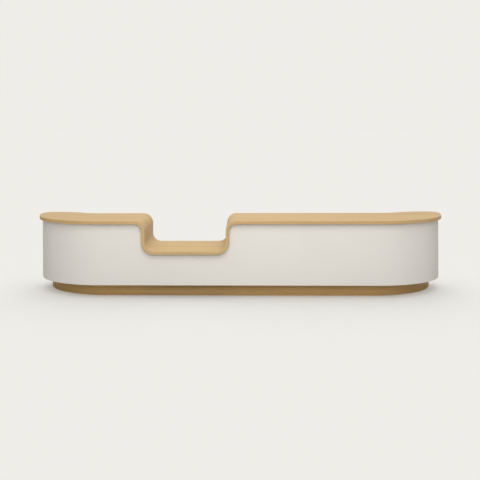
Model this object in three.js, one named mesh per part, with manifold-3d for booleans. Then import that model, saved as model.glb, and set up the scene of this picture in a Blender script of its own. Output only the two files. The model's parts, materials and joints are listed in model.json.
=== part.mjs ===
// Reception desk: an oak ribbon top with a sunken low counter, an off-white lacquered body with
// rounded ends, and an oak plinth set back under it. The staff side holds drawers, open shelves
// and a cupboard. Millimetres, +Z up, +X along the desk, visitors at -Y and staff at +Y. The
// origin is on the floor, in the middle of the desk's length and depth.

import * as THREE from 'three';
import { mergeVertices } from 'three/addons/utils/BufferGeometryUtils.js';
import Module from 'manifold-3d';

const wasm = await Module();
wasm.setup();

// Overall sizes
const LENGTH = 6440;
const HEIGHT = 1150;
const DEPTH_MIDDLE = 860;
const END_SWELL = 170;
const PLINTH_HEIGHT = 185;
const LOW_COUNTER_HEIGHT = 700;

// Ribbon top
const RIBBON = 50;
const OVERHANG = 46;
const NOTCH_CENTRE = -793;
const NOTCH_WIDTH = 1208;
const TOP_BEND_RADIUS = 100;
const FOOT_BEND_RADIUS = 136;

// Plan of the rounded ends. The crest of the swell lies in from the body's end.
const SWEEP_RADIUS = 1330;
const SWEEP_TURN = THREE.MathUtils.degToRad(33);
const BACK_CORNER_RADIUS = 110;
const SWELL_LENGTH = 720;
const SWELL_CREST = 197.436;

// Boards
const BOARD = 18;
const SKIN = 18;
const BACK_BOARD = 8;
const FRONT_BOARD = 20;
const PLINTH_BOARD = 20;
const PLINTH_RECESS = 135;
const PLINTH_END_RECESS = 113;
const KNEE_RECESS = 20;
const SERVICE_DEPTH = 180;

// Staff-side fittings
const BAY_USES = ['drawers', 'shelves', 'cupboard'];
const DRAWERS = 3;
const DRAWER_LENGTH = 500;
const DRAWER_WALL = 12;
const DRAWER_HEADROOM = 40;
const RUNNER_HEIGHT = 45;
const RUNNER_GAP = 13;
const SHELF_SETBACK = 30;
const LEFT_SHELF_HEIGHT = 650;
const OPEN_SHELF_HEIGHTS = [490, 790];
const CUPBOARD_SHELF_HEIGHT = 640;
const PIVOT_RADIUS = 4;
const PIVOT_INSET = 14;
const PIVOT_PLATE_RADIUS = 9;
const PIVOT_PLATE = 2;
const PIVOT_REACH = 22;
const PULL_DEPTH = 22;
const PULL_FOOT = 16;
const PULL_HEAD = 24;
const DRAWER_PULL_LENGTH = 240;
const DOOR_PULL_LENGTH = 180;
const DOOR_PULL_EDGE = 40;
const TRAY_LENGTH = 900;
const TRAY_WIDTH = 110;
const TRAY_DEPTH = 70;
const TRAY_FLANGE = 18;
const TRAY_SHEET = 2;
const TRAY_SETBACK = 20;

// Clearances
const FIT = 0.3;
const FRONT_GAP = 4;
const DOOR_SIDE_GAP = 5;
const PIVOT_CLEARANCE = 0.4;

// Facets on a quarter turn
const BEND_STEPS = 12;
const CORNER_STEPS = 18;

// Finishes: colour, roughness, metalness
const OAK = [0xd3b78c, 0.5, 0];
const OAK_PLINTH = [0xbe9c6c, 0.55, 0];
const LACQUER = [0xdcd8d0, 0.6, 0];
const MELAMINE = [0xe4e1da, 0.65, 0];
const STEEL = [0xb4b6b8, 0.35, 1];
const PAINTED_STEEL = [0x9a9b9c, 0.5, 0.6];

// Levels
const ribbonUnder = HEIGHT - RIBBON;
const lowUnder = LOW_COUNTER_HEIGHT - RIBBON;
const baseTop = PLINTH_HEIGHT + BOARD;
const kneePanelTop = ribbonUnder - TOP_BEND_RADIUS;

// Depth lines of the body, from the visitors' face to the staff's
const depth = DEPTH_MIDDLE + END_SWELL;
const bodyFront = -depth / 2 + OVERHANG;
const bodyBack = bodyFront - OVERHANG + DEPTH_MIDDLE - OVERHANG;
const endBack = depth / 2 - OVERHANG;
const ribbonFront = bodyFront - OVERHANG;
const ribbonBack = bodyBack + OVERHANG;
const insideFront = bodyFront + SKIN;
const serviceBack = bodyFront + SERVICE_DEPTH;
const bayFront = serviceBack + BACK_BOARD;
const plinthFront = bodyFront + PLINTH_RECESS;
const plinthBack = bodyBack - PLINTH_RECESS;

// The end's plan: a wide sweep off the front, a tighter side, the back corner, then an easy
// double curve down to the staff's line.
const bodyEnd = LENGTH / 2 - OVERHANG;
const sideRadius = (endBack - bodyFront - BACK_CORNER_RADIUS - SWEEP_RADIUS * (1 - Math.cos(SWEEP_TURN)))
  / Math.cos(SWEEP_TURN);
const podStart = bodyEnd - SWEEP_RADIUS * Math.sin(SWEEP_TURN) - sideRadius * (1 - Math.sin(SWEEP_TURN));
const swellTurn = 2 * Math.atan(END_SWELL / SWELL_LENGTH);
const swellRadius = (SWELL_LENGTH ** 2 + END_SWELL ** 2) / (4 * END_SWELL);
const swellCrest = bodyEnd - SWELL_CREST;

const sweepCentre = new THREE.Vector2(podStart, bodyFront + SWEEP_RADIUS);
const sideCentre = new THREE.Vector2(bodyEnd - sideRadius, endBack - BACK_CORNER_RADIUS);
const cornerCentre = new THREE.Vector2(bodyEnd - BACK_CORNER_RADIUS, endBack - BACK_CORNER_RADIUS);
const swellOuterCentre = new THREE.Vector2(swellCrest, endBack - swellRadius);
const swellInnerCentre = new THREE.Vector2(swellCrest - SWELL_LENGTH, bodyBack + swellRadius);

// Places along the desk
const notchLeft = NOTCH_CENTRE - NOTCH_WIDTH / 2;
const notchRight = NOTCH_CENTRE + NOTCH_WIDTH / 2;
const outerBend = TOP_BEND_RADIUS + RIBBON;
const kneeLeft = notchLeft - RIBBON - FIT;
const kneeRight = notchRight + RIBBON + FIT;
const rightRunStart = kneeRight + BOARD;
const rightRunEnd = podStart - BOARD;
const bayPitch = (rightRunEnd - rightRunStart + BOARD) / BAY_USES.length;
const bayStart = (bay) => rightRunStart + bay * bayPitch;

function baySpan(use) {
  const bay = BAY_USES.indexOf(use);
  return [bayStart(bay), bayStart(bay + 1) - BOARD];
}

const desk = new THREE.Group();

function place(name, geometry, finish) {
  const [color, roughness, metalness] = finish;
  const material = new THREE.MeshStandardMaterial({ color, roughness, metalness });
  const mesh = new THREE.Mesh(geometry, material);
  mesh.name = name;
  desk.add(mesh);
  return mesh;
}

// An outline run from one end of a span to the other. Every corner keeps its exact place, so that
// boards which meet share one plane.
function extrude(outline, span, toPlace) {
  const geometry = new THREE.ExtrudeGeometry(new THREE.Shape(outline), { depth: 1, bevelEnabled: false });
  const { position } = geometry.attributes;
  for (let i = 0; i < position.count; i += 1) {
    position.setXYZ(i, ...toPlace(position.getX(i), position.getY(i), span[position.getZ(i)]));
  }
  return geometry;
}

// Outlines in plan (x, y), from the front (x, z) and from the end (y, z).
const planGeometry = (outline, z) => extrude(outline, z, (u, v, w) => [u, v, w]);
const frontGeometry = (outline, y) => extrude(outline, y.toReversed(), (u, v, w) => [u, w, v]);
const endGeometry = (outline, x) => extrude(outline, x, (u, v, w) => [w, u, v]);

function boxGeometry(x, y, z) {
  const corners = [[x[0], y[0]], [x[1], y[0]], [x[1], y[1]], [x[0], y[1]]];
  return planGeometry(corners.map((corner) => new THREE.Vector2(...corner)), z);
}

function board(name, finish, x, y, z) {
  return place(name, boxGeometry(x, y, z), finish);
}

function arc(centre, radius, from, to, quarterSteps) {
  const steps = Math.max(2, Math.round(quarterSteps * Math.abs(to - from) / (Math.PI / 2)));
  return Array.from({ length: steps + 1 }, (_, i) => {
    const angle = from + (to - from) * i / steps;
    return new THREE.Vector2(centre.x + radius * Math.cos(angle), centre.y + radius * Math.sin(angle));
  });
}

const mirrored = (points) => points.map((p) => new THREE.Vector2(-p.x, p.y)).toReversed();

// Plan line round the right end, a given distance outside the body's face. The front and side
// curves can be drawn in, back from the front and along from the end, with their radii kept, and
// then meet the back in a plain corner.
function endLine(outside, drawnIn = 0, drawnAlong = 0) {
  const corner = BACK_CORNER_RADIUS + outside - drawnIn;
  const rounded = drawnIn === 0 && corner > 0;
  const sweep = SWEEP_RADIUS + outside + drawnIn;
  const side = sideRadius + outside + drawnIn;
  const sideStop = rounded ? 0 : Math.asin(corner / side);
  const shift = new THREE.Vector2(-drawnAlong, drawnIn);
  const quarter = Math.PI / 2;
  return [
    ...arc(sweepCentre.clone().add(shift), sweep, -quarter, SWEEP_TURN - quarter, CORNER_STEPS),
    ...arc(sideCentre.clone().add(shift), side, SWEEP_TURN - quarter, sideStop, CORNER_STEPS).slice(1),
    ...(rounded ? arc(cornerCentre, corner, 0, quarter, BEND_STEPS).slice(1) : []),
    ...arc(swellOuterCentre, swellRadius + outside, quarter, quarter + swellTurn, CORNER_STEPS),
    ...arc(swellInnerCentre, swellRadius - outside, swellTurn - quarter, -quarter, CORNER_STEPS).slice(1),
    new THREE.Vector2(podStart, bodyBack + outside),
  ];
}

const endBand = (outside, thickness, drawnIn = 0, drawnAlong = 0) => [
  ...endLine(outside, drawnIn, drawnAlong),
  ...endLine(outside - thickness, drawnIn, drawnAlong).toReversed(),
];

// Line of the ribbon down the notch's left side, from its top to the low counter. The given
// distance lies below the ribbon's upper face.
function bendLine(below) {
  const top = new THREE.Vector2(notchLeft - outerBend, HEIGHT - outerBend);
  const foot = new THREE.Vector2(notchLeft + FOOT_BEND_RADIUS, LOW_COUNTER_HEIGHT + FOOT_BEND_RADIUS);
  return [
    ...arc(top, outerBend - below, Math.PI / 2, 0, BEND_STEPS),
    ...arc(foot, FOOT_BEND_RADIUS + below, Math.PI, Math.PI * 1.5, BEND_STEPS),
  ];
}

function acrossNotch(points) {
  return points.map((p) => new THREE.Vector2(2 * NOTCH_CENTRE - p.x, p.y)).toReversed();
}

function toSolid(geometry) {
  const bare = geometry.clone();
  bare.deleteAttribute('normal');
  bare.deleteAttribute('uv');
  const merged = mergeVertices(bare);
  const vertProperties = new Float32Array(merged.attributes.position.array);
  const triVerts = new Uint32Array(merged.index.array);
  return new wasm.Manifold(new wasm.Mesh({ numProp: 3, vertProperties, triVerts }));
}

function cut(geometry, ...tools) {
  const solid = tools.reduce((rest, tool) => rest.subtract(toSolid(tool)), toSolid(geometry));
  const { vertProperties, triVerts } = solid.getMesh();
  const result = new THREE.BufferGeometry();
  result.setAttribute('position', new THREE.BufferAttribute(vertProperties, 3));
  return result.setIndex(new THREE.BufferAttribute(triVerts, 1));
}

// Ribbon top: two high counters, two bends and the low counter between them.
const ribbonDepth = [ribbonFront, ribbonBack];
const leftJoint = notchLeft - outerBend;
const rightJoint = notchRight + outerBend;
const topLevels = [ribbonUnder, HEIGHT];
const rightCounter = [
  new THREE.Vector2(rightJoint, ribbonFront),
  ...endLine(OVERHANG),
  new THREE.Vector2(rightJoint, ribbonBack),
];
const leftCounter = [
  new THREE.Vector2(leftJoint, ribbonBack),
  ...mirrored(endLine(OVERHANG)),
  new THREE.Vector2(leftJoint, ribbonFront),
];
const bendBand = [...bendLine(0), ...bendLine(RIBBON).toReversed()];
place('counter_left', planGeometry(leftCounter, topLevels), OAK);
place('notch_bend_left', frontGeometry(bendBand, ribbonDepth), OAK);
board('low_counter', OAK, [notchLeft + FOOT_BEND_RADIUS, notchRight - FOOT_BEND_RADIUS], ribbonDepth,
  [lowUnder, LOW_COUNTER_HEIGHT]);
place('notch_bend_right', frontGeometry(acrossNotch(bendBand), ribbonDepth), OAK);
place('counter_right', planGeometry(rightCounter, topLevels), OAK);

// Lacquered front: a notched board and a plain one, with a bent skin round each end.
const skinLevels = [PLINTH_HEIGHT, ribbonUnder - FIT];
const panelJoint = rightJoint;
const notchEdge = bendLine(RIBBON + FIT);
const notchedPanel = [
  new THREE.Vector2(-podStart, PLINTH_HEIGHT),
  new THREE.Vector2(panelJoint, PLINTH_HEIGHT),
  ...acrossNotch(notchEdge).toReversed(),
  ...notchEdge.toReversed(),
  new THREE.Vector2(-podStart, ribbonUnder - FIT),
];
place('front_panel_notched', frontGeometry(notchedPanel, [bodyFront, insideFront]), LACQUER);
board('front_panel_right', LACQUER, [panelJoint, podStart], [bodyFront, insideFront], skinLevels);
place('end_skin_right', planGeometry(endBand(0, SKIN), skinLevels), LACQUER);
place('end_skin_left', planGeometry(mirrored(endBand(0, SKIN)), skinLevels), LACQUER);

// Curved formers that hold each end skin at its foot and under the counter.
const formerOutline = endLine(-SKIN - FIT);
const formerLevels = {
  bottom: [PLINTH_HEIGHT, baseTop],
  top: [ribbonUnder - BOARD, ribbonUnder],
};
for (const [level, z] of Object.entries(formerLevels)) {
  place(`end_former_right_${level}`, planGeometry(formerOutline, z), MELAMINE);
  place(`end_former_left_${level}`, planGeometry(mirrored(formerOutline), z), MELAMINE);
}

// Plinth: a frame on the floor that carries the desk, open behind the knee space.
const plinthLevels = [0, PLINTH_HEIGHT];
const plinthRightStart = kneeRight + KNEE_RECESS;
const plinthLeftStop = kneeLeft - KNEE_RECESS;
const plinthInside = [plinthFront + PLINTH_BOARD, plinthBack - PLINTH_BOARD];
const plinthStraight = podStart - PLINTH_END_RECESS;
const plinthEnd = endBand(-PLINTH_RECESS, PLINTH_BOARD, PLINTH_RECESS, PLINTH_END_RECESS);
board('plinth_front', OAK_PLINTH, [-plinthStraight, plinthStraight], [plinthFront, plinthInside[0]],
  plinthLevels);
place('plinth_end_right', planGeometry(plinthEnd, plinthLevels), OAK_PLINTH);
place('plinth_end_left', planGeometry(mirrored(plinthEnd), plinthLevels), OAK_PLINTH);
board('plinth_back_right', OAK_PLINTH, [plinthRightStart, podStart], [plinthInside[1], plinthBack],
  plinthLevels);
board('plinth_back_left', OAK_PLINTH, [-podStart, plinthLeftStop], [plinthInside[1], plinthBack],
  plinthLevels);
board('plinth_knee_right', OAK_PLINTH, [plinthRightStart, plinthRightStart + PLINTH_BOARD], plinthInside,
  plinthLevels);
board('plinth_knee_left', OAK_PLINTH, [plinthLeftStop - PLINTH_BOARD, plinthLeftStop], plinthInside,
  plinthLevels);

// Carcass boards
const carcassDepth = [insideFront, bodyBack];
const bayDepth = [bayFront, bodyBack];
const baseLevels = [PLINTH_HEIGHT, baseTop];
const gableLevels = [baseTop, ribbonUnder];
const kneePanelLevels = [baseTop, kneePanelTop];
board('base_left', MELAMINE, [-podStart, kneeLeft], carcassDepth, baseLevels);
board('base_right', MELAMINE, [kneeRight, podStart], carcassDepth, baseLevels);
board('gable_left', MELAMINE, [-podStart, -rightRunEnd], carcassDepth, gableLevels);
board('knee_panel_left', MELAMINE, [kneeLeft - BOARD, kneeLeft], carcassDepth, kneePanelLevels);
board('knee_panel_right', MELAMINE, [kneeRight, rightRunStart], carcassDepth, kneePanelLevels);
board('gable_right', MELAMINE, [rightRunEnd, podStart], carcassDepth, gableLevels);
for (let bay = 1; bay < BAY_USES.length; bay += 1) {
  board(`divider_${bay}`, MELAMINE, [bayStart(bay) - BOARD, bayStart(bay)], bayDepth, gableLevels);
}

// Back boards. The corner under each bend of the ribbon is cut off.
const bendInside = TOP_BEND_RADIUS * Math.cos(Math.PI / 4 / BEND_STEPS) - FIT;
const bendRoom = Math.sqrt(bendInside ** 2 - (TOP_BEND_RADIUS - BOARD) ** 2);
const rightBackBoard = [
  new THREE.Vector2(rightRunStart, baseTop),
  new THREE.Vector2(rightRunEnd, baseTop),
  new THREE.Vector2(rightRunEnd, ribbonUnder),
  new THREE.Vector2(rightJoint, ribbonUnder),
  new THREE.Vector2(rightRunStart, kneePanelTop + bendRoom),
];
const leftBackBoard = [
  new THREE.Vector2(-rightRunEnd, baseTop),
  new THREE.Vector2(kneeLeft - BOARD, baseTop),
  new THREE.Vector2(kneeLeft - BOARD, kneePanelTop + bendRoom),
  new THREE.Vector2(leftJoint, ribbonUnder),
  new THREE.Vector2(-rightRunEnd, ribbonUnder),
];
place('back_board_right', frontGeometry(rightBackBoard, [serviceBack, bayFront]), MELAMINE);
place('back_board_left', frontGeometry(leftBackBoard, [serviceBack, bayFront]), MELAMINE);
board('knee_back', MELAMINE, [kneeLeft, kneeRight], [bayFront - BOARD, bayFront], [0, lowUnder]);

// Shelves
const shelfDepth = [bayFront, bodyBack - SHELF_SETBACK];
const loose = (span) => [span[0] + FIT, span[1] - FIT];
const shelf = (name, x, height) => board(name, MELAMINE, loose(x), shelfDepth, [height - BOARD, height]);
shelf('left_shelf', [-rightRunEnd, kneeLeft - BOARD], LEFT_SHELF_HEIGHT);
OPEN_SHELF_HEIGHTS.forEach((height, i) => shelf(`open_shelf_${i + 1}`, baySpan('shelves'), height));
shelf('cupboard_shelf', baySpan('cupboard'), CUPBOARD_SHELF_HEIGHT);

// A pull widens towards the hand, so that fingers hold behind its edge. It stands off the staff's
// face, upright or lying along the desk.
const pullSection = [
  new THREE.Vector2(-PULL_FOOT / 2, 0),
  new THREE.Vector2(PULL_FOOT / 2, 0),
  new THREE.Vector2(PULL_HEAD / 2, PULL_DEPTH),
  new THREE.Vector2(-PULL_HEAD / 2, PULL_DEPTH),
];
const centred = (length) => [-length / 2, length / 2];
const uprightPull = (length) => planGeometry(pullSection, centred(length));
const lyingPull = (length) => extrude(pullSection, centred(length), (u, v, w) => [-w, v, u]);

// Drawers, one over another in the first bay, with a board over them. Each box is an open tray
// that runs between two rails and carries an inset front.
const [drawerLeft, drawerRight] = baySpan('drawers');
const drawerTop = kneePanelTop - BOARD;
const drawerPitch = (drawerTop - baseTop) / DRAWERS;
const drawerFrontFace = bodyBack - FIT;
const drawerFrontBack = drawerFrontFace - FRONT_BOARD;
const boxX = [drawerLeft + RUNNER_GAP, drawerRight - RUNNER_GAP];
const boxY = [drawerFrontBack - DRAWER_LENGTH, drawerFrontBack];
board('drawer_top_board', MELAMINE, loose([drawerLeft, drawerRight]), bayDepth, [drawerTop, kneePanelTop]);
for (let i = 0; i < DRAWERS; i += 1) {
  const name = `drawer_${i + 1}`;
  const low = baseTop + i * drawerPitch;
  const frontZ = [low + FRONT_GAP / 2, low + drawerPitch - FRONT_GAP / 2];
  const boxZ = [frontZ[0] + DRAWER_WALL, frontZ[1] - DRAWER_HEADROOM];
  const middle = (frontZ[0] + frontZ[1]) / 2;
  const hollow = boxGeometry(
    [boxX[0] + DRAWER_WALL, boxX[1] - DRAWER_WALL],
    [boxY[0] + DRAWER_WALL, boxY[1] - DRAWER_WALL],
    [boxZ[0] + DRAWER_WALL, boxZ[1] + DRAWER_HEADROOM],
  );
  place(`${name}_box`, cut(boxGeometry(boxX, boxY, boxZ), hollow), MELAMINE);
  board(`${name}_front`, LACQUER, [drawerLeft + FRONT_GAP, drawerRight - FRONT_GAP],
    [drawerFrontBack, drawerFrontFace], frontZ);
  const pull = place(`${name}_pull`, lyingPull(DRAWER_PULL_LENGTH), OAK);
  pull.position.set((drawerLeft + drawerRight) / 2, drawerFrontFace, middle);
  const runnerZ = [middle - RUNNER_HEIGHT / 2, middle + RUNNER_HEIGHT / 2];
  board(`${name}_runner_left`, STEEL, [drawerLeft, boxX[0] - FIT], boxY, runnerZ);
  board(`${name}_runner_right`, STEEL, [boxX[1] + FIT, drawerRight], boxY, runnerZ);
}

// Cupboard doors in the last bay, inset, each turning on a pivot in the base and one under the
// counter.
const [cupboardLeft, cupboardRight] = baySpan('cupboard');
const cupboardMiddle = (cupboardLeft + cupboardRight) / 2;
const doorFace = bodyBack - FIT;
const doorY = [doorFace - FRONT_BOARD, doorFace];
const doorZ = [baseTop + FRONT_GAP, ribbonUnder - FRONT_GAP];
const pivotY = doorFace - FRONT_BOARD / 2;

function pivotGeometry() {
  const profile = [
    new THREE.Vector2(0, 0),
    new THREE.Vector2(PIVOT_PLATE_RADIUS, 0),
    new THREE.Vector2(PIVOT_PLATE_RADIUS, PIVOT_PLATE),
    new THREE.Vector2(PIVOT_RADIUS, PIVOT_PLATE),
    new THREE.Vector2(PIVOT_RADIUS, PIVOT_REACH),
    new THREE.Vector2(0, PIVOT_REACH),
  ];
  return new THREE.LatheGeometry(profile, BEND_STEPS * 2).rotateX(Math.PI / 2);
}

for (const [side, sign] of [['left', 1], ['right', -1]]) {
  const hingeEdge = (side === 'left' ? cupboardLeft : cupboardRight) + sign * DOOR_SIDE_GAP;
  const freeEdge = cupboardMiddle - sign * FRONT_GAP / 2;
  const pivotX = hingeEdge + sign * PIVOT_INSET;
  const doorX = [Math.min(hingeEdge, freeEdge), Math.max(hingeEdge, freeEdge)];
  const boreDepth = PIVOT_REACH - FRONT_GAP + PIVOT_CLEARANCE;
  const bore = new THREE.CylinderGeometry(
    PIVOT_RADIUS + PIVOT_CLEARANCE, PIVOT_RADIUS + PIVOT_CLEARANCE, 2 * boreDepth, BEND_STEPS * 2);
  bore.rotateX(Math.PI / 2);
  const bores = doorZ.map((z) => bore.clone().translate(pivotX, pivotY, z));
  place(`door_${side}`, cut(boxGeometry(doorX, doorY, doorZ), ...bores), LACQUER);
  const pull = place(`door_${side}_pull`, uprightPull(DOOR_PULL_LENGTH), OAK);
  pull.position.set(freeEdge - sign * DOOR_PULL_EDGE, doorFace, (doorZ[0] + doorZ[1]) / 2);
  const bottomPivot = place(`door_${side}_pivot_bottom`, pivotGeometry(), STEEL);
  bottomPivot.position.set(pivotX, pivotY, baseTop);
  const topPivot = place(`door_${side}_pivot_top`, pivotGeometry(), STEEL);
  topPivot.position.set(pivotX, pivotY, ribbonUnder);
  topPivot.rotation.x = Math.PI;
}

// Cable tray: a folded channel hung under the low counter, open at its ends and along its top.
const trayFront = bayFront + TRAY_SETBACK;
const trayBack = trayFront + TRAY_FLANGE + TRAY_WIDTH + TRAY_FLANGE;
const trayFoot = lowUnder - TRAY_DEPTH;
const trayHalf = [
  new THREE.Vector2(trayFront, lowUnder),
  new THREE.Vector2(trayFront, lowUnder - TRAY_SHEET),
  new THREE.Vector2(trayFront + TRAY_FLANGE - TRAY_SHEET, lowUnder - TRAY_SHEET),
  new THREE.Vector2(trayFront + TRAY_FLANGE - TRAY_SHEET, trayFoot),
];
const trayInner = [
  new THREE.Vector2(trayFront + TRAY_FLANGE, trayFoot + TRAY_SHEET),
  new THREE.Vector2(trayFront + TRAY_FLANGE, lowUnder),
];
const acrossTray = (p) => new THREE.Vector2(trayFront + trayBack - p.x, p.y);
const traySection = [
  ...trayHalf,
  ...trayHalf.map(acrossTray).toReversed(),
  ...trayInner.map(acrossTray).toReversed(),
  ...trayInner,
];
place('cable_tray', endGeometry(traySection, centred(TRAY_LENGTH)), PAINTED_STEEL).position.x = NOTCH_CENTRE;

export default desk;
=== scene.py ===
"""Reception desk: an oak ribbon top that dips to a low counter, over an off-white lacquered body
with rounded ends, on an oak plinth set back under it. The staff side holds drawers, open shelves
and a cupboard. Metres, +Z up, visitors at -Y and staff at +Y."""

import json
import math

import bpy
from mathutils import Matrix, Vector

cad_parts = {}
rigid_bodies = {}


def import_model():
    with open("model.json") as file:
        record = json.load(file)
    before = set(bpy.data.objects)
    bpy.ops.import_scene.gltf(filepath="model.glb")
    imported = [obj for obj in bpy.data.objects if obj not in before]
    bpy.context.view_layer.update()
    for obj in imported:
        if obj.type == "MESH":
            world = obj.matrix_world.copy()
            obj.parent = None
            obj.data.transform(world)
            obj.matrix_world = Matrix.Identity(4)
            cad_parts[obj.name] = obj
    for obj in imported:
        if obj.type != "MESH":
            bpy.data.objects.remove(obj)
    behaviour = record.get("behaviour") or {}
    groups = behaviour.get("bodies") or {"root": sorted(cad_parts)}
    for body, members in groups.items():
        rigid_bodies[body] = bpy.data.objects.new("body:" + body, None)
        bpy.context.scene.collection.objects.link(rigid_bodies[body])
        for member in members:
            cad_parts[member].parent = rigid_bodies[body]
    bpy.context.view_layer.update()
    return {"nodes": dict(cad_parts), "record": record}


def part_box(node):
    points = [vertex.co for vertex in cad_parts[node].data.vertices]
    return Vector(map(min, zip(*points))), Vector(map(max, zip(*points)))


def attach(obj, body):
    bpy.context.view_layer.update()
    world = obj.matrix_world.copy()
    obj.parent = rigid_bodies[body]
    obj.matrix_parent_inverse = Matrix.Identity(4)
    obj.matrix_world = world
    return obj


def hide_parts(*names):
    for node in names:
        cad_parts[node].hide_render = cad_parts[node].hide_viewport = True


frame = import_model()

QUARTER = math.pi / 2

# Plan of the rounded ends. The crest of the swell lies in from the body's end.
SWEEP_RADIUS = 1.330
SWEEP_TURN = math.radians(33)
BACK_CORNER_RADIUS = 0.110
SWELL_LENGTH = 0.720
SWELL_CREST = 0.197436

# Upper face of the ribbon where it meets the low counter
FOOT_BEND_RADIUS = 0.136

# Eased edges
RIBBON_EASE = 0.004
PLINTH_EASE = 0.003
PULL_EASE = 0.002
PANEL_EASE = 0.0012
BOARD_EASE = 0.0008
EASE_STEPS = 4
BOARD_EASE_STEPS = 2
EASED_ANGLE = math.radians(40)

# Round stretches and smooth faces
ARC_STEP = math.radians(2)
SHARP_ANGLE = math.radians(50)
JOIN_REACH = 0.00001

# Levels and depth lines, from the CAD boxes
counter_low, counter_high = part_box("counter_right")
low_counter_low, low_counter_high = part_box("low_counter")
bend_low, bend_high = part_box("notch_bend_left")
skin_low, skin_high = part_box("end_skin_right")
plinth_low, plinth_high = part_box("plinth_front")

ribbon_thickness = counter_high.z - counter_low.z
ribbon_front = low_counter_low.y
ribbon_back = low_counter_high.y
overhang = counter_high.x - skin_high.x
body_front = skin_low.y
body_back = ribbon_back - overhang
body_end = skin_high.x
end_back = skin_high.y
skin_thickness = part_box("front_panel_right")[1].y - body_front
plinth_recess = plinth_low.y - body_front
plinth_board = plinth_high.y - plinth_low.y
plinth_straight = plinth_high.x

# Places along the desk
left_joint = bend_low.x
right_joint = counter_low.x
notch_centre = (low_counter_low.x + low_counter_high.x) / 2
top_bend_radius = bend_high.x - bend_low.x - FOOT_BEND_RADIUS

# Arcs of the end's plan
side_depth = end_back - body_front - BACK_CORNER_RADIUS - SWEEP_RADIUS * (1 - math.cos(SWEEP_TURN))
side_radius = side_depth / math.cos(SWEEP_TURN)
pod_start = body_end - SWEEP_RADIUS * math.sin(SWEEP_TURN) - side_radius * (1 - math.sin(SWEEP_TURN))
plinth_end_recess = pod_start - plinth_straight
end_swell = end_back - body_back
swell_turn = 2 * math.atan(end_swell / SWELL_LENGTH)
swell_radius = (SWELL_LENGTH ** 2 + end_swell ** 2) / (4 * end_swell)
swell_crest = body_end - SWELL_CREST


# Lines

def arc(centre, radius, start, stop):
    steps = max(2, round(abs(stop - start) / ARC_STEP))
    angles = [start + (stop - start) * i / steps for i in range(steps + 1)]
    return [(centre[0] + radius * math.cos(a), centre[1] + radius * math.sin(a)) for a in angles]


def end_line(outside, drawn_in=0.0, drawn_along=0.0):
    """Plan line round the right end, a given distance outside the body's face. The front and side
    curves can be drawn in, back from the front and along from the end, with their radii kept, and
    then meet the back in a plain corner."""
    corner = BACK_CORNER_RADIUS + outside - drawn_in
    rounded = drawn_in == 0 and corner > 0
    sweep_outer = SWEEP_RADIUS + outside + drawn_in
    side_outer = side_radius + outside + drawn_in
    side_stop = 0 if rounded else math.asin(corner / side_outer)
    side_y = end_back - BACK_CORNER_RADIUS
    sweep_centre = (pod_start - drawn_along, body_front + SWEEP_RADIUS + drawn_in)
    side_centre = (body_end - side_radius - drawn_along, side_y + drawn_in)
    corner_centre = (body_end - BACK_CORNER_RADIUS, side_y)
    crest_centre = (swell_crest, end_back - swell_radius)
    hollow_centre = (swell_crest - SWELL_LENGTH, body_back + swell_radius)
    line = arc(sweep_centre, sweep_outer, -QUARTER, SWEEP_TURN - QUARTER)
    line += arc(side_centre, side_outer, SWEEP_TURN - QUARTER, side_stop)[1:]
    if rounded:
        line += arc(corner_centre, corner, 0, QUARTER)[1:]
    line += arc(crest_centre, swell_radius + outside, QUARTER, QUARTER + swell_turn)
    line += arc(hollow_centre, swell_radius - outside, swell_turn - QUARTER, -QUARTER)[1:]
    return line + [(pod_start, body_back + outside)]


def mirrored(line):
    return [(-x, y) for x, y in reversed(line)]


def run_lengths(line):
    lengths = [0.0]
    for a, b in zip(line, line[1:]):
        lengths.append(lengths[-1] + math.dist(a, b))
    return lengths


# Meshes

# CAD nodes that a piece made here stands for
replaced = set()


def new_piece(name, points, faces, grain, material, node):
    """A smooth mesh that stands for a CAD node. grain holds (along, across) for each face corner."""
    mesh = bpy.data.meshes.new(name)
    mesh.from_pydata(points, [], faces)
    layer = mesh.uv_layers.new(name="grain")
    for loop, place in zip(layer.data, grain):
        loop.uv = place
    mesh.shade_smooth()
    mesh.set_sharp_from_angle(angle=SHARP_ANGLE)
    mesh.materials.append(material)
    piece = bpy.data.objects.new(name, mesh)
    bpy.context.scene.collection.objects.link(piece)
    piece.modifiers.new("faces", "WEIGHTED_NORMAL").keep_sharp = True
    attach(piece, "desk")
    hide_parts(node)
    replaced.add(node)


def eased_corner(across, down, ease, start):
    """A quarter round in a section, as (across, down) places."""
    angles = [start - QUARTER * i / EASE_STEPS for i in range(EASE_STEPS + 1)]
    return [(across + ease * math.cos(a), down - ease * math.sin(a)) for a in angles]


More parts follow.
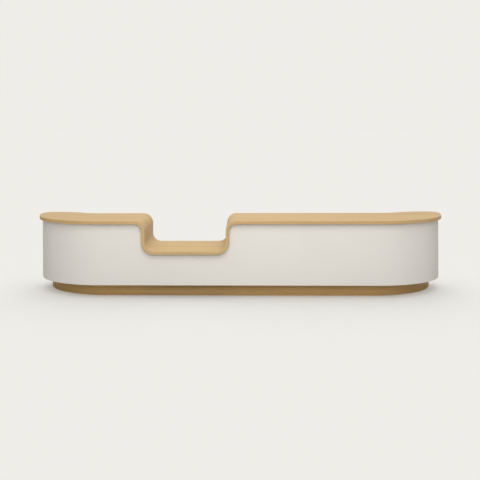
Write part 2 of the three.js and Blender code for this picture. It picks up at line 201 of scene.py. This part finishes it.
def slab(name, outline, levels, ease, material, node, run_start=0.0, face_shift=0.0, edge_across=0.0):
    """A flat piece with eased rims. outline(inset) gives its closed plan line, anticlockwise. The rim's
    grain runs on from run_start, and meets the upper face at edge_across. The flat faces have their
    grain along the desk, moved by face_shift."""
    low, high = levels
    rims = eased_corner(0, high - low - ease, ease, 3 * QUARTER) + eased_corner(0, ease, ease, 2 * QUARTER)
    profile = [(ease + across, high - down) for across, down in rims]
    heights = run_lengths(profile)
    across = [edge_across - heights[-1] + height for height in heights]
    plan = outline(0)
    runs = [run_start + length for length in run_lengths(plan + plan[:1])]
    count = len(plan)
    points = [(x, y, z) for inset, z in profile for x, y in outline(inset)]
    faces, grain = [], []
    for ring in range(len(profile) - 1):
        row = ring * count
        next_row = row + count
        for i in range(count):
            j = (i + 1) % count
            faces.append((row + i, row + j, next_row + j, next_row + i))
            grain += [(runs[i], across[ring]), (runs[i + 1], across[ring]),
                      (runs[i + 1], across[ring + 1]), (runs[i], across[ring + 1])]
    top_row = (len(profile) - 1) * count
    for cap in (list(reversed(range(count))), list(range(top_row, top_row + count))):
        faces.append(cap)
        grain += [(points[i][0] + face_shift, points[i][1]) for i in cap]
    new_piece(name, points, faces, grain, material, node)


def sweep(name, stations, span, thickness, ease, material, node):
    """A band with eased edges along a line in the front view. A station is (x, z, tilt of its upper
    face from level, length along the run)."""
    front, back = span
    section = (eased_corner(front + ease, thickness - ease, ease, 3 * QUARTER)
               + eased_corner(front + ease, ease, ease, 2 * QUARTER)
               + eased_corner(back - ease, ease, ease, QUARTER)
               + eased_corner(back - ease, thickness - ease, ease, 0))
    upper = 2 * EASE_STEPS + 1
    lengths = run_lengths(section + section[:1])
    across = [front + ease + length - lengths[upper] for length in lengths]
    count = len(section)
    points = []
    for x, z, tilt, _ in stations:
        points += [(x - down * math.sin(tilt), y, z - down * math.cos(tilt)) for y, down in section]
    runs = [run for *_, run in stations]
    faces, grain = [], []
    for station in range(len(stations) - 1):
        row = station * count
        next_row = row + count
        run, next_run = runs[station:station + 2]
        for i in range(count):
            j = (i + 1) % count
            faces.append((row + i, next_row + i, next_row + j, row + j))
            grain += [(run, across[i]), (next_run, across[i]),
                      (next_run, across[i + 1]), (run, across[i + 1])]
    last_row = (len(stations) - 1) * count
    for cap in (list(range(count)), list(reversed(range(last_row, last_row + count)))):
        faces.append(cap)
        grain += [(points[i][1], points[i][2]) for i in cap]
    new_piece(name, points, faces, grain, material, node)


# Materials

class Graph:
    """Adds shader nodes. An input is a value or another node's output."""

    def __init__(self, tree):
        self.tree = tree
        tree.nodes.clear()

    def add(self, kind, inputs=(), **settings):
        node = self.tree.nodes.new(kind)
        for key, value in settings.items():
            setattr(node, key, value)
        for socket, value in dict(inputs).items():
            if isinstance(value, bpy.types.NodeSocket):
                self.tree.links.new(value, node.inputs[socket])
            else:
                node.inputs[socket].default_value = value
        return node

    def math(self, operation, a, b=0.0):
        return self.add("ShaderNodeMath", {0: a, 1: b}, operation=operation).outputs[0]

    def stretched_noise(self, place, waves, detail=2.0, roughness=0.5):
        """Noise with its own number of waves to the metre along each axis."""
        stretched = self.add("ShaderNodeVectorMath", {0: place, 1: waves}, operation="MULTIPLY").outputs[0]
        inputs = {"Vector": stretched, "Scale": 1.0, "Detail": detail, "Roughness": roughness}
        return self.add("ShaderNodeTexNoise", inputs).outputs["Fac"]

    def remap(self, value, before, after):
        """Carries a value from one range of (low, high) to another."""
        inputs = {"Value": value, "From Min": before[0], "From Max": before[1],
                  "To Min": after[0], "To Max": after[1]}
        return self.add("ShaderNodeMapRange", inputs).outputs["Result"]

    def ramp(self, factor, span, dark, light):
        """A colour that goes from dark to light as a factor crosses a span."""
        node = self.add("ShaderNodeValToRGB", {"Fac": factor})
        for element, position, colour in zip(node.color_ramp.elements, span, (dark, light)):
            element.position = position
            element.color = linear(colour)
        return node.outputs["Color"]

    def scaled_colour(self, colour, factor):
        return self.add("ShaderNodeVectorMath", {0: colour, "Scale": factor}, operation="SCALE").outputs[0]

    def finish(self, colour, roughness, height, depth, metallic=0.0, gloss=0.5):
        """A surface with a texture of the given height, up to a depth in metres."""
        bump = self.add("ShaderNodeBump", {"Height": height, "Distance": depth})
        inputs = {"Base Color": colour, "Roughness": roughness, "Metallic": metallic,
                  "Specular IOR Level": gloss, "Normal": bump.outputs["Normal"]}
        surface = self.add("ShaderNodeBsdfPrincipled", inputs)
        self.add("ShaderNodeOutputMaterial", {"Surface": surface.outputs[0]})


def linear(colour):
    """A screen colour (0 to 255) as scene values by the sRGB curve, with full alpha."""
    parts = [c / 255 for c in colour]
    return [p / 12.92 if p <= 0.04045 else ((p + 0.055) / 1.055) ** 2.4 for p in parts] + [1.0]


def new_graph(name):
    material = bpy.data.materials.new(name)
    material.use_nodes = True
    return material, Graph(material.node_tree)


def grain_map(g):
    return g.add("ShaderNodeUVMap", uv_map="grain").outputs[0]


def object_place(order):
    """The place on the object, with the grain's axis first."""
    def place(g):
        where = g.add("ShaderNodeTexCoord").outputs["Object"]
        xyz = g.add("ShaderNodeSeparateXYZ", {0: where}).outputs
        ordered = {i: xyz["XYZ".index(axis)] for i, axis in enumerate(order)}
        return g.add("ShaderNodeCombineXYZ", ordered).outputs[0]
    return place


# Where most of a noise lies
NOISE_SPAN = (0.3, 0.7)

# Oak, in leaves of veneer. Waves to the metre are given along the grain, then both ways across it.
LEAF_WIDTH = 0.145
LEAF_SHIFT = 9.0
LEAF_TONES = (0.965, 1.035)
BAND_WAVES = (0.55, 14.0, 14.0)
BAND_SHARE = 0.55
STREAK_WAVES = (1.6, 75.0, 75.0)
FIGURE_SPAN = (0.36, 0.64)
PORE_WAVES = (16.0, 950.0, 950.0)
PORE_SPAN = (0.56, 0.70)
PORE_TONES = (1.0, 0.80)
PORE_DEPTH = 0.0002
OAK_ROUGHNESS = (0.46, 0.58)
OAK_GLOSS = 0.15


def oak(name, light, dark, place_of):
    """Straight-grained oak. place_of gives (along, across, across) in metres for a graph."""
    material, g = new_graph(name)
    place = place_of(g)
    across = g.add("ShaderNodeSeparateXYZ", {0: place}).outputs[1]
    leaf = g.math("FLOOR", g.math("DIVIDE", across, LEAF_WIDTH))
    leaf_tone = g.add("ShaderNodeTexWhiteNoise", {"W": leaf}, noise_dimensions="1D").outputs["Value"]
    shift = g.add("ShaderNodeCombineXYZ", {0: g.math("MULTIPLY", leaf_tone, LEAF_SHIFT)}).outputs[0]
    place = g.add("ShaderNodeVectorMath", {0: place, 1: shift}, operation="ADD").outputs[0]
    bands = g.stretched_noise(place, BAND_WAVES, detail=3.0, roughness=0.55)
    streaks = g.stretched_noise(place, STREAK_WAVES, detail=4.0, roughness=0.6)
    pores = g.remap(g.stretched_noise(place, PORE_WAVES, detail=1.0), PORE_SPAN, (0.0, 1.0))
    band_part = g.math("MULTIPLY", bands, BAND_SHARE)
    figure = g.math("ADD", band_part, g.math("MULTIPLY", streaks, 1 - BAND_SHARE))
    colour = g.ramp(figure, FIGURE_SPAN, dark, light)
    colour = g.scaled_colour(colour, g.remap(leaf_tone, (0.0, 1.0), LEAF_TONES))
    colour = g.scaled_colour(colour, g.remap(pores, (0.0, 1.0), PORE_TONES))
    roughness = g.remap(streaks, NOISE_SPAN, OAK_ROUGHNESS)
    g.finish(colour, roughness, g.math("MULTIPLY", pores, -1.0), PORE_DEPTH, gloss=OAK_GLOSS)
    return material


# Coats
DRIFT_WAVES = 1.1
DRIFT_SPAN = (0.35, 0.65)
COAT_ROUGHNESS_SPREAD = 0.05


def coated(name, light, dark, roughness, waves, depth, gloss=0.5):
    """A sprayed or pressed coat: a faint drift of tone over a fine, shallow texture."""
    material, g = new_graph(name)
    place = object_place("XYZ")(g)
    drift = g.stretched_noise(place, (DRIFT_WAVES,) * 3, detail=3.0)
    texture = g.stretched_noise(place, (waves,) * 3)
    colour = g.ramp(drift, DRIFT_SPAN, dark, light)
    spread = (roughness - COAT_ROUGHNESS_SPREAD, roughness + COAT_ROUGHNESS_SPREAD)
    g.finish(colour, g.remap(texture, NOISE_SPAN, spread), texture, depth, gloss=gloss)
    return material


# Brushed metal
BRUSH_WAVES = (900.0, 12.0, 900.0)
BRUSH_ROUGHNESS = (0.28, 0.42)
BRUSH_DEPTH = 0.0001


def brushed(name, light, dark):
    """Bright metal with fine lines along the drawers' travel."""
    material, g = new_graph(name)
    lines = g.stretched_noise(object_place("XYZ")(g), BRUSH_WAVES, detail=3.0)
    colour = g.ramp(lines, NOISE_SPAN, dark, light)
    g.finish(colour, g.remap(lines, NOISE_SPAN, BRUSH_ROUGHNESS), lines, BRUSH_DEPTH, metallic=1.0)
    return material


OAK_LIGHT, OAK_DARK = (191, 163, 117), (178, 147, 102)
PLINTH_LIGHT, PLINTH_DARK = (202, 166, 113), (187, 150, 97)

ribbon_oak = oak("ribbon_oak", OAK_LIGHT, OAK_DARK, grain_map)
plinth_oak = oak("plinth_oak", PLINTH_LIGHT, PLINTH_DARK, grain_map)
pull_oak_lying = oak("pull_oak_lying", OAK_LIGHT, OAK_DARK, object_place("XYZ"))
pull_oak_upright = oak("pull_oak_upright", OAK_LIGHT, OAK_DARK, object_place("ZXY"))
plinth_oak_boards = oak("plinth_oak_boards", PLINTH_LIGHT, PLINTH_DARK, object_place("XZY"))
lacquer = coated("lacquer", light=(212, 208, 202), dark=(210, 206, 200),
                 roughness=0.6, waves=700.0, depth=0.00002, gloss=0.04)
melamine = coated("melamine", light=(230, 227, 220), dark=(227, 224, 217),
                  roughness=0.55, waves=1400.0, depth=0.00004)
painted_steel = coated("painted_steel", light=(160, 161, 162), dark=(152, 153, 154),
                       roughness=0.5, waves=1800.0, depth=0.00008)
steel = brushed("steel", light=(205, 207, 209), dark=(176, 178, 181))


# Ribbon top

def bend_stations(run):
    """Upper line of the ribbon down the notch's left side. The second bend turns the other way."""
    stations = []
    top = (left_joint, counter_high.z - top_bend_radius)
    foot = (low_counter_low.x, low_counter_high.z + FOOT_BEND_RADIUS)
    parts = ((top, top_bend_radius, QUARTER, 0.0, 0.0),
             (foot, FOOT_BEND_RADIUS, 2 * QUARTER, 3 * QUARTER, 2 * QUARTER))
    for centre, radius, start, stop, turned in parts:
        line = arc(centre, radius, start, stop)
        for i, (x, z) in enumerate(line):
            angle = start + (stop - start) * i / (len(line) - 1)
            stations.append((x, z, QUARTER - angle + turned))
    lengths = run_lengths([(x, z) for x, z, _ in stations])
    return [(*station, run + length) for station, length in zip(stations, lengths)]


left_bend = bend_stations(left_joint)
low_run = left_bend[-1][3]
low_length = low_counter_high.x - low_counter_low.x
low_stations = [(low_counter_low.x, low_counter_high.z, 0.0, low_run),
                (low_counter_high.x, low_counter_high.z, 0.0, low_run + low_length)]
right_bend = [(2 * notch_centre - x, z, -tilt, 2 * low_run + low_length - run)
              for x, z, tilt, run in reversed(left_bend)]
right_run = right_bend[-1][3]

ribbon_span = (ribbon_front, ribbon_back)
bands = {"notch_bend_left": left_bend, "low_counter": low_stations, "notch_bend_right": right_bend}
for node, stations in bands.items():
    sweep(f"{node}_oak", stations, ribbon_span, ribbon_thickness, RIBBON_EASE, ribbon_oak, node)


def right_counter_plan(inset):
    line = end_line(overhang - inset)
    return [(right_joint, ribbon_front + inset)] + line + [(right_joint, ribbon_back - inset)]


def left_counter_plan(inset):
    line = mirrored(end_line(overhang - inset))
    return line + [(left_joint, ribbon_front + inset), (left_joint, ribbon_back - inset)]


# The left counter's rim runs from the back, round the end, to the front of its joint.
left_rim = run_lengths(left_counter_plan(0))[-2]
top_levels = (counter_low.z, counter_high.z)
slab("counter_right_oak", right_counter_plan, top_levels, RIBBON_EASE, ribbon_oak, "counter_right",
     run_start=right_run, face_shift=right_run - right_joint, edge_across=ribbon_front)
slab("counter_left_oak", left_counter_plan, top_levels, RIBBON_EASE, ribbon_oak, "counter_left",
     run_start=left_joint - left_rim, edge_across=ribbon_front)


# End skins and plinth

def band_plan(outside, thickness, flip, *drawn):
    """Closed plan of a bent board round one end, its rims inset."""
    def plan(inset):
        outer = end_line(outside - inset, *drawn)
        inner = end_line(outside - thickness + inset, *drawn)
        line = outer + inner[::-1]
        return mirrored(line) if flip else line
    return plan


def plinth_front_plan(inset):
    front, back = plinth_low.y + inset, plinth_high.y - inset
    return [(side * plinth_straight, y) for side, y in ((-1, front), (1, front), (1, back), (-1, back))]


skin_levels = (skin_low.z, skin_high.z)
plinth_levels = (plinth_low.z, plinth_high.z)
for side, flip in (("right", False), ("left", True)):
    skin_plan = band_plan(0.0, skin_thickness, flip)
    slab(f"end_skin_{side}_lacquer", skin_plan, skin_levels, PANEL_EASE, lacquer,
         f"end_skin_{side}")
    plinth_plan = band_plan(-plinth_recess, plinth_board, flip, plinth_recess, plinth_end_recess)
    slab(f"plinth_end_{side}_oak", plinth_plan, plinth_levels, PLINTH_EASE, plinth_oak,
         f"plinth_end_{side}", run_start=plinth_straight)
slab("plinth_front_oak", plinth_front_plan, plinth_levels, PLINTH_EASE, plinth_oak,
     "plinth_front", run_start=-plinth_straight)


# Boards and fittings from the CAD

def board_finish(node, material, ease=BOARD_EASE):
    """Joins a CAD node's faces, eases its edges and gives it its material."""
    weld = node.modifiers.new("join", "WELD")
    weld.merge_threshold = JOIN_REACH
    bevel = node.modifiers.new("ease", "BEVEL")
    bevel.width = ease
    bevel.segments = BOARD_EASE_STEPS
    bevel.limit_method = "ANGLE"
    bevel.angle_limit = EASED_ANGLE
    node.modifiers.new("faces", "WEIGHTED_NORMAL").keep_sharp = True
    node.data.shade_smooth()
    node.data.materials.clear()
    node.data.materials.append(material)


slot_materials = {"lacquer": lacquer, "melamine": melamine, "steel": steel,
                  "painted_steel": painted_steel, "plinth_oak": plinth_oak_boards}
slot_of = {part["node"]: part["material_slot"] for part in frame["record"]["subparts"]}
for name, node in frame["nodes"].items():
    if name in replaced:
        continue
    if slot_of[name] != "oak":
        board_finish(node, slot_materials[slot_of[name]])
    elif name.startswith("drawer"):
        board_finish(node, pull_oak_lying, PULL_EASE)
    else:
        board_finish(node, pull_oak_upright, PULL_EASE)


# Light, floor and camera

WHITE = (1.0, 1.0, 1.0, 1.0)

# Screen colour of the floor and the background, and the share of the floor's tone that doesn't shade
BACKGROUND = (238, 237, 233)
FLOOR_PALENESS = 0.3
FLOOR_REACH = 400

# Soft light round the room, by how far a direction points up and to the back
TOP_LIGHT = 1.79
BACK_LIGHT = 0.90

# Softboxes in front of the desk: elevation and power
LAMPS = {"high": (math.radians(60), 205.0), "low": (math.radians(30), 188.0)}
LAMP_SIZE = (4.0, 2.5)
LAMP_DISTANCE = 7.0
LAMP_AIM = (0.1, body_front, 0.6)

CAMERA_PLACE = (0.1057, -9.3917, 2.5049)
CAMERA_YAW = math.radians(1.434)
CAMERA_ROLL = math.radians(-0.269)
CAMERA_LENS = 45
CAMERA_SENSOR = 36
CAMERA_SHIFT = (0.0207, -0.2301)
CAMERA_REACH = 2000

scene = bpy.context.scene
scene.view_settings.view_transform = "Standard"


def sky_lobe(g, along, strength):
    """Light that grows with the square of how far a direction points along an axis."""
    facing = g.math("MAXIMUM", along, 0.0)
    return g.math("MULTIPLY", g.math("MULTIPLY", facing, facing), strength)


def add_world():
    """A soft sky lights the desk. The camera and reflections see a plain background instead."""
    world = bpy.data.worlds.new("studio")
    world.use_nodes = True
    g = Graph(world.node_tree)
    rays = g.add("ShaderNodeLightPath").outputs
    seen = g.math("MAXIMUM", rays["Is Camera Ray"], rays["Is Glossy Ray"])
    seen = g.math("MAXIMUM", seen, rays["Is Transmission Ray"])
    toward = g.add("ShaderNodeTexCoord").outputs["Generated"]
    direction = g.add("ShaderNodeSeparateXYZ", {0: toward}).outputs
    level = g.math("ADD", sky_lobe(g, direction["Z"], TOP_LIGHT), sky_lobe(g, direction["Y"], BACK_LIGHT))
    sky = g.add("ShaderNodeBackground", {"Color": WHITE, "Strength": level})
    backdrop = g.add("ShaderNodeBackground", {"Color": linear(BACKGROUND), "Strength": 1.0})
    mix = g.add("ShaderNodeMixShader", {0: seen, 1: sky.outputs[0], 2: backdrop.outputs[0]})
    g.add("ShaderNodeOutputWorld", {"Surface": mix.outputs[0]})
    scene.world = world


def add_floor():
    """A pale floor that keeps the desk's shadow."""
    mesh = bpy.data.meshes.new("floor")
    corners = [(x * FLOOR_REACH, y * FLOOR_REACH, 0) for x, y in ((-1, -1), (1, -1), (1, 1), (-1, 1))]
    mesh.from_pydata(corners, [], [(0, 1, 2, 3)])
    material, g = new_graph("floor")
    shaded = g.add("ShaderNodeBsdfDiffuse", {"Color": linear(BACKGROUND)})
    pale = g.add("ShaderNodeEmission", {"Color": linear(BACKGROUND)})
    camera_ray = g.add("ShaderNodeLightPath").outputs["Is Camera Ray"]
    paleness = g.math("MULTIPLY", camera_ray, FLOOR_PALENESS)
    mix = g.add("ShaderNodeMixShader", {0: paleness, 1: shaded.outputs[0], 2: pale.outputs[0]})
    g.add("ShaderNodeOutputMaterial", {"Surface": mix.outputs[0]})
    mesh.materials.append(material)
    floor = bpy.data.objects.new("floor", mesh)
    scene.collection.objects.link(floor)


def add_softbox(name, elevation, power, lit):
    """A lamp that shines on the desk from the visitors' side and lights only the pieces in lit."""
    data = bpy.data.lights.new(name, "AREA")
    data.shape = "RECTANGLE"
    data.size, data.size_y = LAMP_SIZE
    data.energy = power
    data.specular_factor = 0.0
    lamp = bpy.data.objects.new(name, data)
    toward = Vector((0, math.cos(elevation), -math.sin(elevation)))
    lamp.location = Vector(LAMP_AIM) - toward * LAMP_DISTANCE
    lamp.rotation_euler = toward.to_track_quat("-Z", "Y").to_euler()
    lamp.light_linking.receiver_collection = lit
    scene.collection.objects.link(lamp)


def add_camera():
    data = bpy.data.cameras.new("camera")
    data.lens = CAMERA_LENS
    data.sensor_width = CAMERA_SENSOR
    data.shift_x, data.shift_y = CAMERA_SHIFT
    data.clip_end = CAMERA_REACH
    camera = bpy.data.objects.new("camera", data)
    camera.location = CAMERA_PLACE
    level = Matrix.Rotation(QUARTER, 3, "X")
    yaw = Matrix.Rotation(CAMERA_YAW, 3, "Z")
    roll = Matrix.Rotation(CAMERA_ROLL, 3, "Z")
    camera.rotation_euler = (yaw @ level @ roll).to_euler()
    scene.collection.objects.link(camera)
    scene.camera = camera


# The softboxes light the desk only, so that the floor keeps one even tone.
desk_pieces = bpy.data.collections.new("lit")
for piece in scene.objects:
    if piece.type == "MESH":
        desk_pieces.objects.link(piece)
for name, (elevation, power) in LAMPS.items():
    add_softbox(name, elevation, power, desk_pieces)
add_world()
add_floor()
add_camera()
